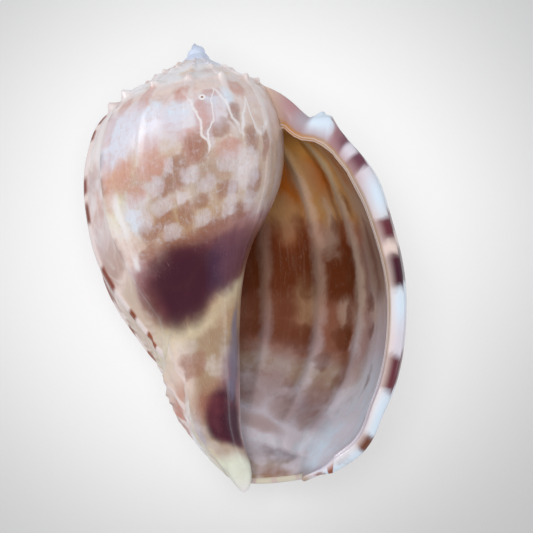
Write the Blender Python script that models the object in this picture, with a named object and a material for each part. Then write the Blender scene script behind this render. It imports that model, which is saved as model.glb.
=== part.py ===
"""A harp seashell, hollow, lying on its back with the aperture upwards.

The shell is one wall that winds around an axis. It is built in its own upright
frame first: the axis is vertical, the apex is up and depth is measured down from
the apex, in millimetres. Each surface point has a turn angle, counted backwards
from the outer lip, and a place along the growth line:
0 to 1 is the ramp from the suture to the shoulder, 1 to 2 the side of the whorl,
2 to 3 the siphonal band and 3 to 4 the tip of the columella.
The finished shell is then laid down and scaled to metres.
"""

import bpy
import bmesh
import numpy as np
from mathutils import Euler
from mathutils import Matrix

MILLIMETRE = 0.001
LENGTH = 67.1  # apex to siphonal tip
TURN_GROWTH = 2.2  # how much each turn grows over the one before
SPIRAL_TOP = 1.79  # depth that the spiral shrinks towards
LIP_ANGLE = -18.0  # where growth stopped, in degrees around the axis
RIBS_PER_TURN = 13
RIB_STEP = 360.0 / RIBS_PER_TURN
RIB_HALF_WIDTH = 4.0  # degrees
RIB_HEIGHT = 0.95
SPINE_HEIGHT = 1.1
WALL = 1.15
LIP_WALL = 1.75
LIP_ROUNDING = 0.6
CALLUS_THICKNESS = 0.45

SUTURE = (8.95, 7.8)  # radius and depth of the suture at the lip
RAMP_BULGE = 0.03  # of the ramp's own width
LIP_RAMP_SAG = 0.12  # the same, hollow instead, where the ramp ends at the lip
PROTOCONCH_BULGE = 0.16  # the same on the steep first whorls
PROTOCONCH_START = 717.0  # turn angle where the smooth first whorls give way to ribs
PROTOCONCH_TURNS = 2.5

# Radius and depth down the side of a full-size whorl, from the shoulder to the base.
BODY_PROFILE = (
    (19.69, 15.01), (21.4, 16.6), (23.1, 19.1), (24.4, 22.6), (25.6, 27.6),
    (26.0, 33.3), (25.7, 38.5), (25.0, 44.0), (23.6, 49.2), (21.2, 54.3),
    (19.1, 57.8), (16.9, 61.2), (14.8, 64.5),
)
# The same down the flared outer lip.
LIP_PROFILE = (
    (18.9, 14.9), (21.3, 18.4), (23.4, 21.3), (25.3, 24.8), (26.6, 29.9),
    (27.8, 35.6), (28.3, 41.0), (28.0, 46.4), (27.1, 51.4), (25.4, 56.2),
    (22.7, 60.2), (18.8, 63.3), (13.5, 65.5),
)
# Depth and radius of the columella.
COLUMELLA = (
    (0.0, 1.1), (12.1, 1.8), (28.9, 2.75), (41.0, 3.1), (53.6, 3.0), (58.3, 2.85),
    (60.3, 2.6), (62.6, 2.2), (64.0, 1.9), (65.5, 1.45), (66.6, 0.8), (67.1, 0.0),
)
NOTCH_END = 6.0 * RIB_STEP + LIP_ANGLE - 9.84  # where the siphonal notch meets the columella
# Turn angle and depth of the line that ends the siphonal band.
BAND_END = (
    (-18.0, 66.6), (-10.0, 66.1), (0.0, 65.6), (20.0, 65.1), (60.0, 64.9), (100.0, 64.4),
    (138.5, 63.5), (165.0, 61.3), (200.0, 59.6), (270.0, 59.3), (342.0, 60.8), (420.0, 62.9),
    (498.5, 63.5), (503.0, 60.3), (509.0, 56.5), (516.0, 53.6), (540.0, 47.6), (585.0, 41.6),
    (630.0, 37.4), (702.0, 32.0), (790.0, 26.5),
)
SIPHON_BEND_START = 57.3  # depth where the siphonal end starts to bend
SIPHON_BEND = (3.3, 0.9)  # how far its tip ends up to the right and to the back
BAND_REACH = 14.5  # how gently the base of the whorl curves in to the columella
BAND_PINCH = 2.8  # how much tighter it curves on the left
FASCIOLE = 1.35  # height of the ridge that the siphonal notch left behind
# Turn angle and place across the siphonal band of that ridge.
FASCIOLE_LINE = ((0.0, 0.3), (90.0, 0.42), (150.0, 0.54), (200.0, 0.4), (262.0, 0.3))

# Columns around and rows along the growth line, for a faceted solid.
RIB_COLUMNS = (0.0, 4.0, 8.0, 17.85)
RAMP_ROWS = (0.0, 0.34, 0.64, 0.86, 1.0)
WHORL_ROWS = (1.08, 1.16, 1.26, 1.38, 1.5, 1.62, 1.73, 1.82, 1.91, 2.0)
BAND_ROWS = (2.13, 2.29, 2.45, 2.6, 2.78, 3.0)
TIP_ROWS = (3.4, 3.75, 4.0)
JOIN_ROW = 1.38  # where the cavity's skin meets the whorl before
CAVITY_COLUMNS = 50

SHELL_COLOUR = (0.72, 0.55, 0.45, 1.0)
REST_TILT = (1.72, -0.4, 0.0)  # degrees, so that it lies as it comes to rest
RESTING_WEAR = 0.3  # how deep the lowest ribs are worn flat where the shell lies


def smoothstep(low, high, x):
    t = np.clip((np.asarray(x, float) - low) / (high - low), 0.0, 1.0)
    return t * t * (3.0 - 2.0 * t)


def table(rows, x):
    """Straight lines between the rows of a table."""
    rows = np.array(rows)
    return np.interp(x, rows[:, 0], rows[:, 1])


def curve(points, f):
    """A smooth curve through evenly counted points, at fraction f from 0 to 1."""
    p = np.array(points)
    last = len(p) - 1
    x = np.clip(np.asarray(f, float), 0.0, 1.0) * last
    i = np.clip(np.floor(x).astype(int), 0, last - 1)
    u = (x - i)[..., None]
    a = p[np.maximum(i - 1, 0)]
    b = p[i]
    c = p[i + 1]
    d = p[np.minimum(i + 2, last)]
    return 0.5 * (2 * b + (c - a) * u + (2 * a - 5 * b + 4 * c - d) * u**2
                  + (3 * b - a - 3 * c + d) * u**3)


def growth(phi):
    """Size of the whorl at a turn angle, as a share of its size at the lip."""
    return TURN_GROWTH ** (-(phi - LIP_ANGLE) / 360.0)


def suture(phi):
    """Radius and depth of the suture: a spiral that turns into the steep protoconch."""
    phi = np.asarray(phi, float)
    size = growth(np.minimum(phi, PROTOCONCH_START))
    left = 1.0 - (phi - PROTOCONCH_START) / (360.0 * PROTOCONCH_TURNS)
    left = np.clip(left, 0.0, 1.0)
    r = SUTURE[0] * size * np.where(phi > PROTOCONCH_START, 0.12 + 0.88 * left, 1.0)
    t = SPIRAL_TOP + (SUTURE[1] - SPIRAL_TOP) * size
    t = np.where(phi > PROTOCONCH_START, 0.25 + (t - 0.25) * left, t)
    return r, t


def ramp(phi, w):
    """From the suture, w = 0, to the line that the next whorl grows over, w = 1."""
    r0, t0 = suture(phi)
    r1, t1 = np.where(phi < 300.0, whorl(phi, np.zeros_like(phi)), suture(phi - 360.0))
    early = smoothstep(PROTOCONCH_START + 300.0, PROTOCONCH_START + 420.0, phi)
    late = smoothstep(34.0, LIP_ANGLE, phi)
    bow = RAMP_BULGE * np.clip(w / 0.8, 0, 1) * np.clip((1 - w) / 0.2, 0, 1)
    bow = bow * (1 - early) + PROTOCONCH_BULGE * early * 4 * w * (1 - w)
    bow = bow * (1 - late) - LIP_RAMP_SAG * late * 12.2 * w**4 * (1 - w)
    r = r0 + (r1 - r0) * w + bow * (t1 - t0)
    t = t0 + (t1 - t0) * w - bow * (r1 - r0)
    return r, t


def whorl(phi, f):
    """Down the side of a whorl, from the shoulder, f = 0, to the base, f = 1."""
    size = growth(phi)
    flare = smoothstep(62.0, LIP_ANGLE, phi)
    body = curve(BODY_PROFILE, f)
    lip = curve(LIP_PROFILE, f)
    r = body[..., 0] + (lip[..., 0] - body[..., 0]) * flare
    t = body[..., 1] + (lip[..., 1] - body[..., 1]) * flare
    return r * size, SPIRAL_TOP + (t - SPIRAL_TOP) * size


def columella(t):
    return table(COLUMELLA, t)


def band(phi, g):
    """From the base of the whorl down the siphonal band, g = 0 to 1."""
    size = growth(phi)
    r0, t0 = whorl(phi, np.ones_like(phi))
    t1 = table(BAND_END, phi)
    t = t0 + (t1 - t0) * g
    reach = BAND_REACH - BAND_PINCH * smoothstep(90.0, 140.0, phi) * smoothstep(300.0, 230.0, phi)
    cut = smoothstep(122.0, 160.0, phi) * smoothstep(52.0, 61.0, t)
    fade = np.exp(-(t - t0) / (reach * size)) * (1 - cut)
    fade = fade * (1 - 0.25 * g * smoothstep(20.0, LIP_ANGLE, phi))
    ridge = np.exp(-(((g - table(FASCIOLE_LINE, phi)) / 0.12) ** 2))
    ridge = ridge * FASCIOLE * smoothstep(0.0, 40.0, phi) * smoothstep(262.0, 190.0, phi)
    return columella(t) + (r0 - columella(t0)) * fade + ridge, t


def tip(phi, h):
    """From the siphonal band in to the very end of the columella, h = 0 to 1."""
    r0, t0 = band(phi, np.ones_like(phi))
    t = t0 + (LENGTH - t0) * np.sin(0.5 * np.pi * h)
    extra = np.maximum(r0 - columella(t0), 0.0) * (1 - h) ** 2
    return columella(t) + extra, t


def section(phi, s):
    """Radius and depth of the smooth outer skin at growth-line place s."""
    phi, s = np.broadcast_arrays(np.asarray(phi, float), np.asarray(s, float))
    parts = (
        ramp(phi, np.clip(s, 0, 1)), whorl(phi, np.clip(s - 1, 0, 1)),
        band(phi, np.clip(s - 2, 0, 1)), tip(phi, np.clip(s - 3, 0, 1)),
    )
    pick = [s <= 1, s <= 2, s <= 3, s <= 4.01]
    r = np.select(pick, [p[0] for p in parts])
    t = np.select(pick, [p[1] for p in parts])
    return r, t


def place(phi, r, t):
    """A point from its angle, radius and depth. The siphonal end bends to one side and back."""
    bend = smoothstep(SIPHON_BEND_START, LENGTH, t)
    a = np.radians(phi)
    x = r * np.cos(a) + SIPHON_BEND[0] * bend
    y = r * np.sin(a) + SIPHON_BEND[1] * bend
    return np.stack([x, y, -t], axis=-1)


def smooth_skin(phi, s):
    return place(np.broadcast_to(phi, np.broadcast(phi, s).shape), *section(phi, s))


def outward(phi, s):
    """Unit normals of the smooth outer skin."""
    s = np.asarray(s, float)
    along = smooth_skin(phi, np.minimum(s + 0.04, 3.99)) - smooth_skin(phi, np.maximum(s - 0.04, 0))
    around = smooth_skin(phi + 0.5, s) - smooth_skin(phi - 0.5, s)
    n = np.cross(around, along)
    n /= np.maximum(np.linalg.norm(n, axis=-1, keepdims=True), 1e-12)
    return -n


def glazed(phi, s):
    """How far the glossy callus covers the ribs, from 0 to 1."""
    front = smoothstep(196.0, 222.0, phi) * smoothstep(760.0, 700.0, phi)
    spire = smoothstep(342.0, 366.0, phi) * smoothstep(600.0, 560.0, phi)
    return np.where(s <= 1.0, front * (1 - spire), front)


def rib_shape(phi):
    """1 on the crest of each rib and 0 between the ribs."""
    from_crest = (phi - LIP_ANGLE - RIB_HALF_WIDTH + RIB_STEP / 2) % RIB_STEP - RIB_STEP / 2
    return np.clip(1 - np.abs(from_crest) / RIB_HALF_WIDTH, 0, 1)


def outer_skin(phi, s):
    """The outer skin with its ribs, shoulder spines and callus."""
    phi, s = np.broadcast_arrays(np.asarray(phi, float), np.asarray(s, float))
    size = growth(phi)
    bare = 1 - 0.85 * glazed(phi, s)
    inside = smoothstep(342.0, 350.0, phi) * (s > 1.0)
    grown = smoothstep(PROTOCONCH_START, PROTOCONCH_START - 80.0, phi) * (1 - inside)
    along = np.interp(s, (0, 0.3, 0.85, 1.1, 1.7, 2.0, 2.4), (0.2, 0.6, 1, 1, 0.8, 0.5, 0))
    shape = rib_shape(phi)
    rise = RIB_HEIGHT * size * shape * along * bare * grown
    callus = CALLUS_THICKNESS * glazed(phi, s) * smoothstep(1.1, 1.5, s)
    callus = callus * smoothstep(395.0, 345.0, phi) * smoothstep(4.0, 3.0, s)
    p = smooth_skin(phi, s) + outward(phi, s) * (rise + callus)[..., None]
    spine = SPINE_HEIGHT * size * (shape > 0.9) * np.clip(1 - np.abs(s - 0.86) / 0.12, 0, 1)
    spine = spine * bare * grown
    a = np.radians(phi)
    away = np.stack([0.72 * np.cos(a), 0.72 * np.sin(a), np.full_like(a, 0.69)], axis=-1)
    return p + away * spine[..., None]


def wall_at(phi, s):
    """Thickness of the wall, which grows with the whorl and is greatest at the lip."""
    wall = WALL * (0.35 + 0.65 * growth(phi))
    lip = smoothstep(12.0, LIP_ANGLE + 4, phi)
    at_lip = np.interp(s, (0.0, 0.34, 0.64, 0.86, 1.2), (1.0, 1.6, 2.7, 2.5, LIP_WALL))
    return wall + (at_lip - wall) * lip


def inner_skin(phi, s):
    """The wall of the cavity that faces the axis."""
    phi, s = np.broadcast_arrays(np.asarray(phi, float), np.asarray(s, float))
    reach = np.maximum(s, RAMP_ROWS[2])
    p = smooth_skin(phi, reach) - outward(phi, reach) * wall_at(phi, reach)[..., None]
    # Under the suture it runs straight to the whorl before.
    join = outer_skin(phi + 360.0, np.full_like(s, JOIN_ROW))
    p = join + (p - join) * np.minimum(s / RAMP_ROWS[2], 1)[..., None]
    # Behind the notch the cavity ends on the columella, inside the siphonal band.
    g = np.clip(s - 2, 0, 1)
    top = whorl(phi, np.ones_like(phi))[1]
    floor_depth = table(BAND_END, phi + 360.0)
    share = (floor_depth - top) / (table(BAND_END, phi) - top)
    share = np.where(phi > NOTCH_END, share, 1.0)
    near = smooth_skin(phi, 2 + g * share)
    floor = smooth_skin(phi + 360.0, np.full_like(s, 3.0))
    drop = (g**2)[..., None]
    wall = wall_at(phi, s)[..., None] * outward(phi, 2 + g * share)
    closing = near - wall * (1 - drop) + (floor - near) * drop
    blend = (smoothstep(NOTCH_END - 9.0, NOTCH_END, phi) * (s > 2))[..., None]
    return p + (closing - p) * blend


class Weave:
    """Collects shared vertices and faces by name."""

    def __init__(self):
        self.numbers = {}
        self.faces = []

    def vertex(self, *key):
        return self.numbers.setdefault(key, len(self.numbers))

    def face(self, *corners):
        ring = [c for i, c in enumerate(corners) if c != corners[i - 1]]
        if len(ring) > 2:
            self.faces.append(ring)

    def set_points(self, kind, function):
        """Works out every vertex of one kind at once."""
        keys = [k for k in self.numbers if k[0] == kind]
        at = [self.numbers[k] for k in keys]
        values = np.array([k[1:3] for k in keys], float)
        self.points[at] = function(values[:, 0], values[:, 1])


def build_shell():
    """Weaves the outer skin, the cavity's skin and the rim between them into one closed surface."""
    weave = Weave()
    per_rib = len(RIB_COLUMNS)
    per_turn = RIBS_PER_TURN * per_rib
    rows = RAMP_ROWS + WHORL_ROWS + BAND_ROWS + TIP_ROWS
    shoulder = len(RAMP_ROWS) - 1
    join = rows.index(JOIN_ROW)
    band_end = shoulder + len(WHORL_ROWS) + len(BAND_ROWS)
    tip_end = len(rows) - 1
    notch = 6 * per_rib - 1
    turns = (PROTOCONCH_START - LIP_ANGLE) / 360 + PROTOCONCH_TURNS - 0.02
    last = int(turns * per_turn)

    def angle(c):
        k, i = divmod(c, per_rib)
        return LIP_ANGLE + k * RIB_STEP + RIB_COLUMNS[i]

    def out(j, c):
        if j == 0 and c + per_turn <= last:
            return out(shoulder, c + per_turn)
        if j == tip_end:
            return weave.vertex("out", LIP_ANGLE, rows[tip_end])
        return weave.vertex("out", angle(c), rows[j])

    def inn(j, c):
        if j == 0:
            return out(join, c + per_turn)
        if j == band_end and c >= notch:
            return out(band_end, c + per_turn)
        return weave.vertex("in", angle(c), rows[j])

    def grid(corner, j0, j1, c0, c1):
        for c in range(c0, c1):
            for j in range(j0, j1):
                weave.face(corner(j, c), corner(j + 1, c), corner(j + 1, c + 1), corner(j, c + 1))

    grid(out, 0, shoulder, 0, last)
    grid(out, shoulder, band_end, 0, per_turn)
    grid(out, join, band_end, per_turn, per_turn + CAVITY_COLUMNS)
    grid(out, band_end, tip_end, notch, notch + per_turn)
    grid(inn, 0, band_end, 0, CAVITY_COLUMNS)

    # The edge of the aperture: down the lip, round the notch and down to the tip.
    edge = [(out(j, 0), inn(j, 0)) for j in range(band_end + 1)]
    edge += [(out(band_end, c), inn(band_end, c)) for c in range(1, notch + 1)]
    edge += [(out(j, notch), out(j, notch + per_turn)) for j in range(band_end + 1, tip_end + 1)]
    middle = [weave.vertex("rim", i, 0) for i in range(1, len(edge) - 1)]
    middle = [edge[0][0]] + middle + [edge[-1][0]]
    for i in range(1, len(edge) - 1):
        weave.face(edge[i][0], edge[i + 1][0], middle[i + 1], middle[i])
        weave.face(middle[i], middle[i + 1], edge[i + 1][1], edge[i][1])
    corner = [out(j, per_turn) for j in range(shoulder, join + 1)] + [edge[1][1], middle[1]]
    for a, b in zip(corner, corner[1:]):
        weave.face(edge[1][0], b, a)

    # The blind end of the cavity, and the very top of the apex.
    end = CAVITY_COLUMNS
    blind = [inn(j, end) for j in range(band_end + 1)]
    blind += [out(j, end + per_turn) for j in range(band_end - 1, join, -1)]
    crown = [out(0, c) for c in range(last - per_turn, last + 1)]
    crown += [out(j, last) for j in range(1, shoulder)]
    hub = weave.vertex("hub")
    peak = weave.vertex("peak")
    for centre, ring in ((hub, blind), (peak, crown)):
        for i, corner in enumerate(ring):
            weave.face(ring[i - 1], corner, centre)

    weave.points = np.zeros((len(weave.numbers), 3))
    weave.set_points("out", outer_skin)
    weave.set_points("in", inner_skin)
    weave.points[hub] = weave.points[blind].mean(axis=0)
    outer, inner = weave.points[np.array(edge).T]
    mid = 0.5 * (outer + inner)
    across = outer - inner
    ahead = np.cross(across[1:-1], mid[2:] - mid[:-2])
    ahead /= np.linalg.norm(ahead, axis=1, keepdims=True)
    width = np.linalg.norm(across[1:-1], axis=1, keepdims=True)
    steps = np.arange(1, len(edge) - 1)[:, None]
    round_off = LIP_ROUNDING * np.minimum(width / LIP_WALL, 1) * np.minimum(steps / 3, 1)
    weave.points[middle[1:-1]] = mid[1:-1] - ahead * round_off
    return weave


def make_mesh(name, weave):
    bm = bmesh.new()
    corners = [bm.verts.new(p) for p in weave.points]
    for ring in weave.faces:
        bm.faces.new([corners[i] for i in ring])
    bmesh.ops.triangulate(bm, faces=bm.faces, quad_method="SHORT_EDGE")
    bmesh.ops.recalc_face_normals(bm, faces=bm.faces)
    if bm.calc_volume(signed=True) < 0:
        bmesh.ops.reverse_faces(bm, faces=bm.faces)
    for face in bm.faces:
        face.smooth = True
    mesh = bpy.data.meshes.new(name)
    bm.to_mesh(mesh)
    bm.free()
    return mesh


def shell_material():
    material = bpy.data.materials.new("shell")
    material.use_nodes = True
    shader = material.node_tree.nodes["Principled BSDF"]
    shader.inputs["Base Color"].default_value = SHELL_COLOUR
    shader.inputs["Roughness"].default_value = 0.28
    shader.inputs["Metallic"].default_value = 0.0
    return material


def lay_down(mesh):
    """Turns the upright shell onto its back, with the spire towards +Y, and sets it on z = 0."""
    laid = Euler([np.radians(a) for a in REST_TILT]).to_matrix().to_4x4()
    mesh.transform(laid @ Matrix.Rotation(np.radians(-90.0), 4, "X"))
    worn = min(v.co.z for v in mesh.vertices) + RESTING_WEAR
    for vertex in mesh.vertices:
        vertex.co.z = max(vertex.co.z, worn)
    mesh.transform(Matrix.Scale(MILLIMETRE, 4))
    co = np.array([v.co[:] for v in mesh.vertices])
    centre = 0.5 * (co.min(0) + co.max(0))
    mesh.transform(Matrix.Translation((-centre[0], -centre[1], -co[:, 2].min())))


for old in list(bpy.data.objects):
    bpy.data.objects.remove(old)

shell_mesh = make_mesh("shell", build_shell())
shell_mesh.materials.append(shell_material())
lay_down(shell_mesh)
shell = bpy.data.objects.new("shell", shell_mesh)
bpy.context.scene.collection.objects.link(shell)
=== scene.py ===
"""A harp seashell lying on its back, aperture upwards: its fine surface and glossy patterned finish.

Every point of the shell has a turn angle phi, in degrees around the axis and counted
backwards from the outer lip, and a place s along the growth line: 0 to 1 is the ramp
from the suture to the shoulder, 1 to 2 the side of the whorl, 2 to 3 the siphonal band
and 3 to 4 the tip of the columella. The mesh is built from those two numbers, in
millimetres with the apex up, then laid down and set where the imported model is. The
material reads the same two numbers, so each marking keeps its place on the shell.
"""

import bmesh
import bpy
import numpy as np
from mathutils import Euler
from mathutils import Matrix
from mathutils import Vector


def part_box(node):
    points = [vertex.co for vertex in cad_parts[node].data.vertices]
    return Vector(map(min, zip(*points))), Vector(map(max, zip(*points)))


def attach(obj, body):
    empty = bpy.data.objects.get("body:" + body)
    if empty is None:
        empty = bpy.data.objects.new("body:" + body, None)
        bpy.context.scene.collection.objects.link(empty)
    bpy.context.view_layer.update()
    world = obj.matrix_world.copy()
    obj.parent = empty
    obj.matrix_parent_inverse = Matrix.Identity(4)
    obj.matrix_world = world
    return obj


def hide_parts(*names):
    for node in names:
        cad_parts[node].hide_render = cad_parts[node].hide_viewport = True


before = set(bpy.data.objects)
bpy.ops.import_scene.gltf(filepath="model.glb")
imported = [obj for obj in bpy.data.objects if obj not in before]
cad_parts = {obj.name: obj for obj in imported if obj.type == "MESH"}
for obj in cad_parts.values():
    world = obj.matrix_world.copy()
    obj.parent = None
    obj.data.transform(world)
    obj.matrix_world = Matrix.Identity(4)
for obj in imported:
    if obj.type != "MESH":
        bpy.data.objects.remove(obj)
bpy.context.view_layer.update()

MILLIMETRE = 0.001
LENGTH = 67.1  # apex to siphonal tip
TURN_GROWTH = 2.2
SPIRAL_TOP = 1.79  # depth that the spiral shrinks towards
LIP_ANGLE = -18.0
RIBS_PER_TURN = 13
RIB_STEP = 360.0 / RIBS_PER_TURN
RIB_CREST = 4.0  # degrees from a rib's front foot to its crest
RIB_HEIGHT = 0.95
SPINE_HEIGHT = 2.0
WALL = 1.15
LIP_WALL = 1.75  # width of the rim at which its edge is fully rounded
# Place along the growth line and thickness of the wall at the lip.
LIP_THICKNESS = (
    (0.0, 1.0), (0.34, 1.6), (0.64, 2.7), (0.86, 2.5), (1.2, 1.75), (1.7, 1.7), (1.95, 1.3),
    (2.3, 0.9), (3.0, 0.8),
)
LIP_ROUNDING = 0.75
RIM_LINE_HEIGHT = 0.2
CALLUS_THICKNESS = 0.45
SUTURE = (8.95, 7.8)  # radius and depth of the suture at the lip
RAMP_BULGE = 0.03
LIP_RAMP_SAG = 0.12
PROTOCONCH_START = 717.0  # turn angle where the smooth first whorls give way to ribs
PROTOCONCH_TURNS = 2.5
PROTOCONCH_BULGE = 0.16
PEAK_RISE = 0.12
SIPHON_BEND_START = 57.3  # depth below which the siphonal end bends
SIPHON_BEND = (3.3, 0.9)
BAND_REACH = 14.5  # how fast the siphonal band narrows towards the columella
BAND_PINCH = 2.8
REST_TILT = (1.72, -0.4, 0.0)  # degrees, as the shell comes to rest
RESTING_WEAR = 0.3
INNER_FOLDS = (23.0, 43.5, 67.0, 92.0)  # turn angles of the low ridges inside the aperture

# Radius and depth down the side of a full-size whorl, from the shoulder to the base.
BODY_PROFILE = (
    (19.69, 15.01), (21.4, 16.6), (23.1, 19.1), (24.4, 22.6), (25.6, 27.6),
    (26.0, 33.3), (25.7, 38.5), (25.0, 44.0), (23.6, 49.2), (21.2, 54.3),
    (19.1, 57.8), (16.9, 61.2), (14.8, 64.5),
)
# The same down the flared outer lip.
LIP_PROFILE = (
    (18.9, 14.9), (21.3, 18.4), (23.4, 21.3), (25.3, 24.8), (26.6, 29.9),
    (27.8, 35.6), (28.3, 41.0), (28.0, 46.4), (27.1, 51.4), (25.4, 56.2),
    (22.7, 60.2), (18.8, 63.3), (13.5, 65.5),
)
# Depth and radius of the columella.
COLUMELLA = (
    (0.0, 1.1), (12.1, 1.8), (28.9, 2.75), (41.0, 3.1), (53.6, 3.0), (58.3, 2.85),
    (60.3, 2.55), (62.6, 2.05), (64.0, 1.65), (65.5, 1.2), (66.6, 0.65), (67.1, 0.0),
)
# Turn angle and depth of the line that ends the siphonal band.
BAND_END = (
    (-18.0, 66.6), (-10.0, 66.1), (0.0, 65.6), (20.0, 65.1), (60.0, 64.9), (100.0, 64.4),
    (138.5, 63.5), (165.0, 61.3), (200.0, 59.6), (270.0, 59.3), (342.0, 60.8), (420.0, 62.9),
    (498.5, 63.5), (503.0, 60.3), (509.0, 56.5), (516.0, 53.6), (540.0, 47.6), (585.0, 41.6),
    (630.0, 37.4), (702.0, 32.0), (790.0, 26.5),
)
FASCIOLE = 1.35
SCALLOPS = 6.5  # waves down the siphonal band, where old notches left their edges
SCALLOP_HEIGHT = 0.6
# Turn angle and place across the siphonal band of the ridge that the notch left behind.
FASCIOLE_LINE = ((0.0, 0.3), (90.0, 0.42), (150.0, 0.54), (200.0, 0.4), (262.0, 0.3))

# Columns around one rib step, closest together on the rib, and rows along the growth line.
RIB_COLUMNS = (
    0.0, 0.7, 1.4, 2.1, 2.8, 3.6, 4.4, 5.2, 6.1, 7.2, 8.6, 10.6, 13.0, 15.4, 17.85, 22.6,
)
NOTCH_COLUMN = 5 * len(RIB_COLUMNS) + RIB_COLUMNS.index(17.85)
NOTCH_END = LIP_ANGLE + 5.0 * RIB_STEP + 17.85
RAMP_ROWS = tuple(1.0 - (1.0 - k / 16.0) ** 1.25 for k in range(17))
WHORL_ROWS = tuple(round(1.0 + 0.02 * k, 4) for k in range(1, 51))
BAND_ROWS = tuple(2.0 + k / 24.0 for k in range(1, 25))
TIP_ROWS = tuple(3.0 + k / 10.0 for k in range(1, 11))
JOIN_ROW = 1.38  # where the cavity's skin meets the whorl before
JOIN_REACH = 0.64  # how far along the ramp that skin runs straight
CAVITY_COLUMNS = 200
CORNER_ROUNDING = ((-0.2, 0.12), (-0.1, 0.22), (0.0, 0.32), (0.1, 0.22), (0.2, 0.12))
RIM_STEPS = 28
RIM_LINES = (0.86, 0.96)  # where across the rim its two thin inner ridges run

COLOURS = {
    "white": "#f3eff1", "blue white": "#dbe9f8", "lilac": "#dcd5e0", "lavender": "#c3bdcd",
    "grey lilac": "#aca1ab", "shell pink": "#e8d2ca", "peach": "#e6bf9f", "salmon": "#c88b7c",
    "fawn": "#b39c8c", "taupe": "#a68a6e", "cream": "#d8c8a8", "pale cream": "#e4dcc4",
    "beige": "#cfb7a6", "tan": "#bd9b78", "brown": "#97634f", "mauve": "#b0878b", "plum": "#6e4050",
    "maroon": "#662833", "wine": "#3f0620", "slate": "#77738a", "periwinkle": "#ccd1ee",
    "purple": "#43203e", "gold": "#e2a557", "ochre": "#cb8d3c", "orange": "#c0600f",
    "rust": "#93431b", "umber": "#6c361d", "pale green": "#e6ead9",
}
# Colours along a line: each at its place, which is s, or phi for the last blotch line.
COLOUR_LINES = {
    "pale ribs": (
        "0.0 beige, 0.5 mauve, 0.78 grey lilac, 0.88 blue white, 1.0 blue white, 1.11 lilac, "
        "1.21 lilac, 1.28 blue white, 1.41 shell pink, 1.53 blue white, 1.62 lilac, 1.79 blue white, "
        "1.95 blue white, 2.2 blue white, 2.6 lilac, 3.0 fawn"
    ),
    "dark blocks": (
        "1.0 mauve, 1.1 plum, 1.36 maroon, 1.46 wine, 1.7 maroon, 1.88 umber, 2.05 rust, 2.5 brown"
    ),
    "back": (
        "0.0 beige, 0.5 shell pink, 0.85 white, 1.08 shell pink, 1.2 salmon, 1.32 shell pink, "
        "1.42 mauve, 1.5 salmon, 1.6 mauve, 1.72 brown, 1.78 shell pink, 1.86 beige, 2.0 beige, "
        "2.3 pale cream, 2.5 shell pink, 2.62 salmon, 2.72 white, 3.0 pale cream"
    ),
    "callus left": (
        "0.8 white, 1.15 shell pink, 1.25 lilac, 1.38 lilac, 1.46 peach, 1.56 pale cream, "
        "1.74 shell pink, 1.84 mauve, 2.0 brown, 2.2 cream, 2.5 shell pink, 2.75 beige, "
        "3.0 grey lilac, 3.15 cream, 3.35 pale green, 4.0 white"
    ),
    "callus middle": (
        "0.8 white, 1.1 shell pink, 1.32 lilac, 1.44 beige, 1.55 fawn, 1.72 tan, 1.82 brown, "
        "2.1 brown, 2.2 tan, 2.3 cream, 2.4 taupe, 2.62 taupe, 2.8 brown, 3.02 taupe, 3.15 fawn, "
        "3.35 pale green, 4.0 white"
    ),
    "callus right": (
        "0.8 shell pink, 1.2 shell pink, 1.5 beige, 1.6 beige, 1.68 beige, 1.8 mauve, 1.95 brown, "
        "2.12 brown, 2.2 cream, 2.34 tan, 2.5 taupe, 2.7 mauve, 2.95 mauve, 3.1 fawn, "
        "3.3 pale green, 4.0 white"
    ),
    "blotch down": "1.8 brown, 1.88 maroon, 1.97 wine, 2.1 wine, 2.24 plum",
    "blotch across": "205.0 maroon, 226.0 wine, 262.0 wine, 276.0 purple, 300.0 purple",
    # The gold at the top of the inside lines is lighter than the shell's own ochre: painted light
    # against the deep shade in the cavity.
    "inside": (
        "0.8 gold, 1.08 gold, 1.2 ochre, 1.28 ochre, 1.34 rust, 1.42 umber, 1.5 umber, 1.56 brown, "
        "1.67 brown, 1.75 fawn, 1.87 grey lilac, 2.05 lilac, 2.3 lilac, 2.5 grey lilac, 2.8 taupe, "
        "3.0 taupe"
    ),
    "folds": (
        "0.8 cream, 1.1 cream, 1.3 beige, 1.5 beige, 1.7 lilac, 2.1 lilac, 2.5 lavender, 3.0 beige"
    ),
    "inside the lip": (
        "0.8 gold, 1.1 peach, 1.3 beige, 1.45 shell pink, 1.62 lilac, 1.73 blue white, "
        "2.4 blue white, 3.0 grey lilac"
    ),
    "rim inside": (
        "0.0 tan, 0.7 ochre, 1.1 tan, 1.25 taupe, 1.5 taupe, 1.62 fawn, 1.75 grey lilac, 2.0 lilac, "
        "2.4 lavender, 3.0 fawn"
    ),
    "rim middle": "0.0 beige, 1.0 mauve, 1.6 shell pink, 2.5 lilac, 3.0 fawn",
}
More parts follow.
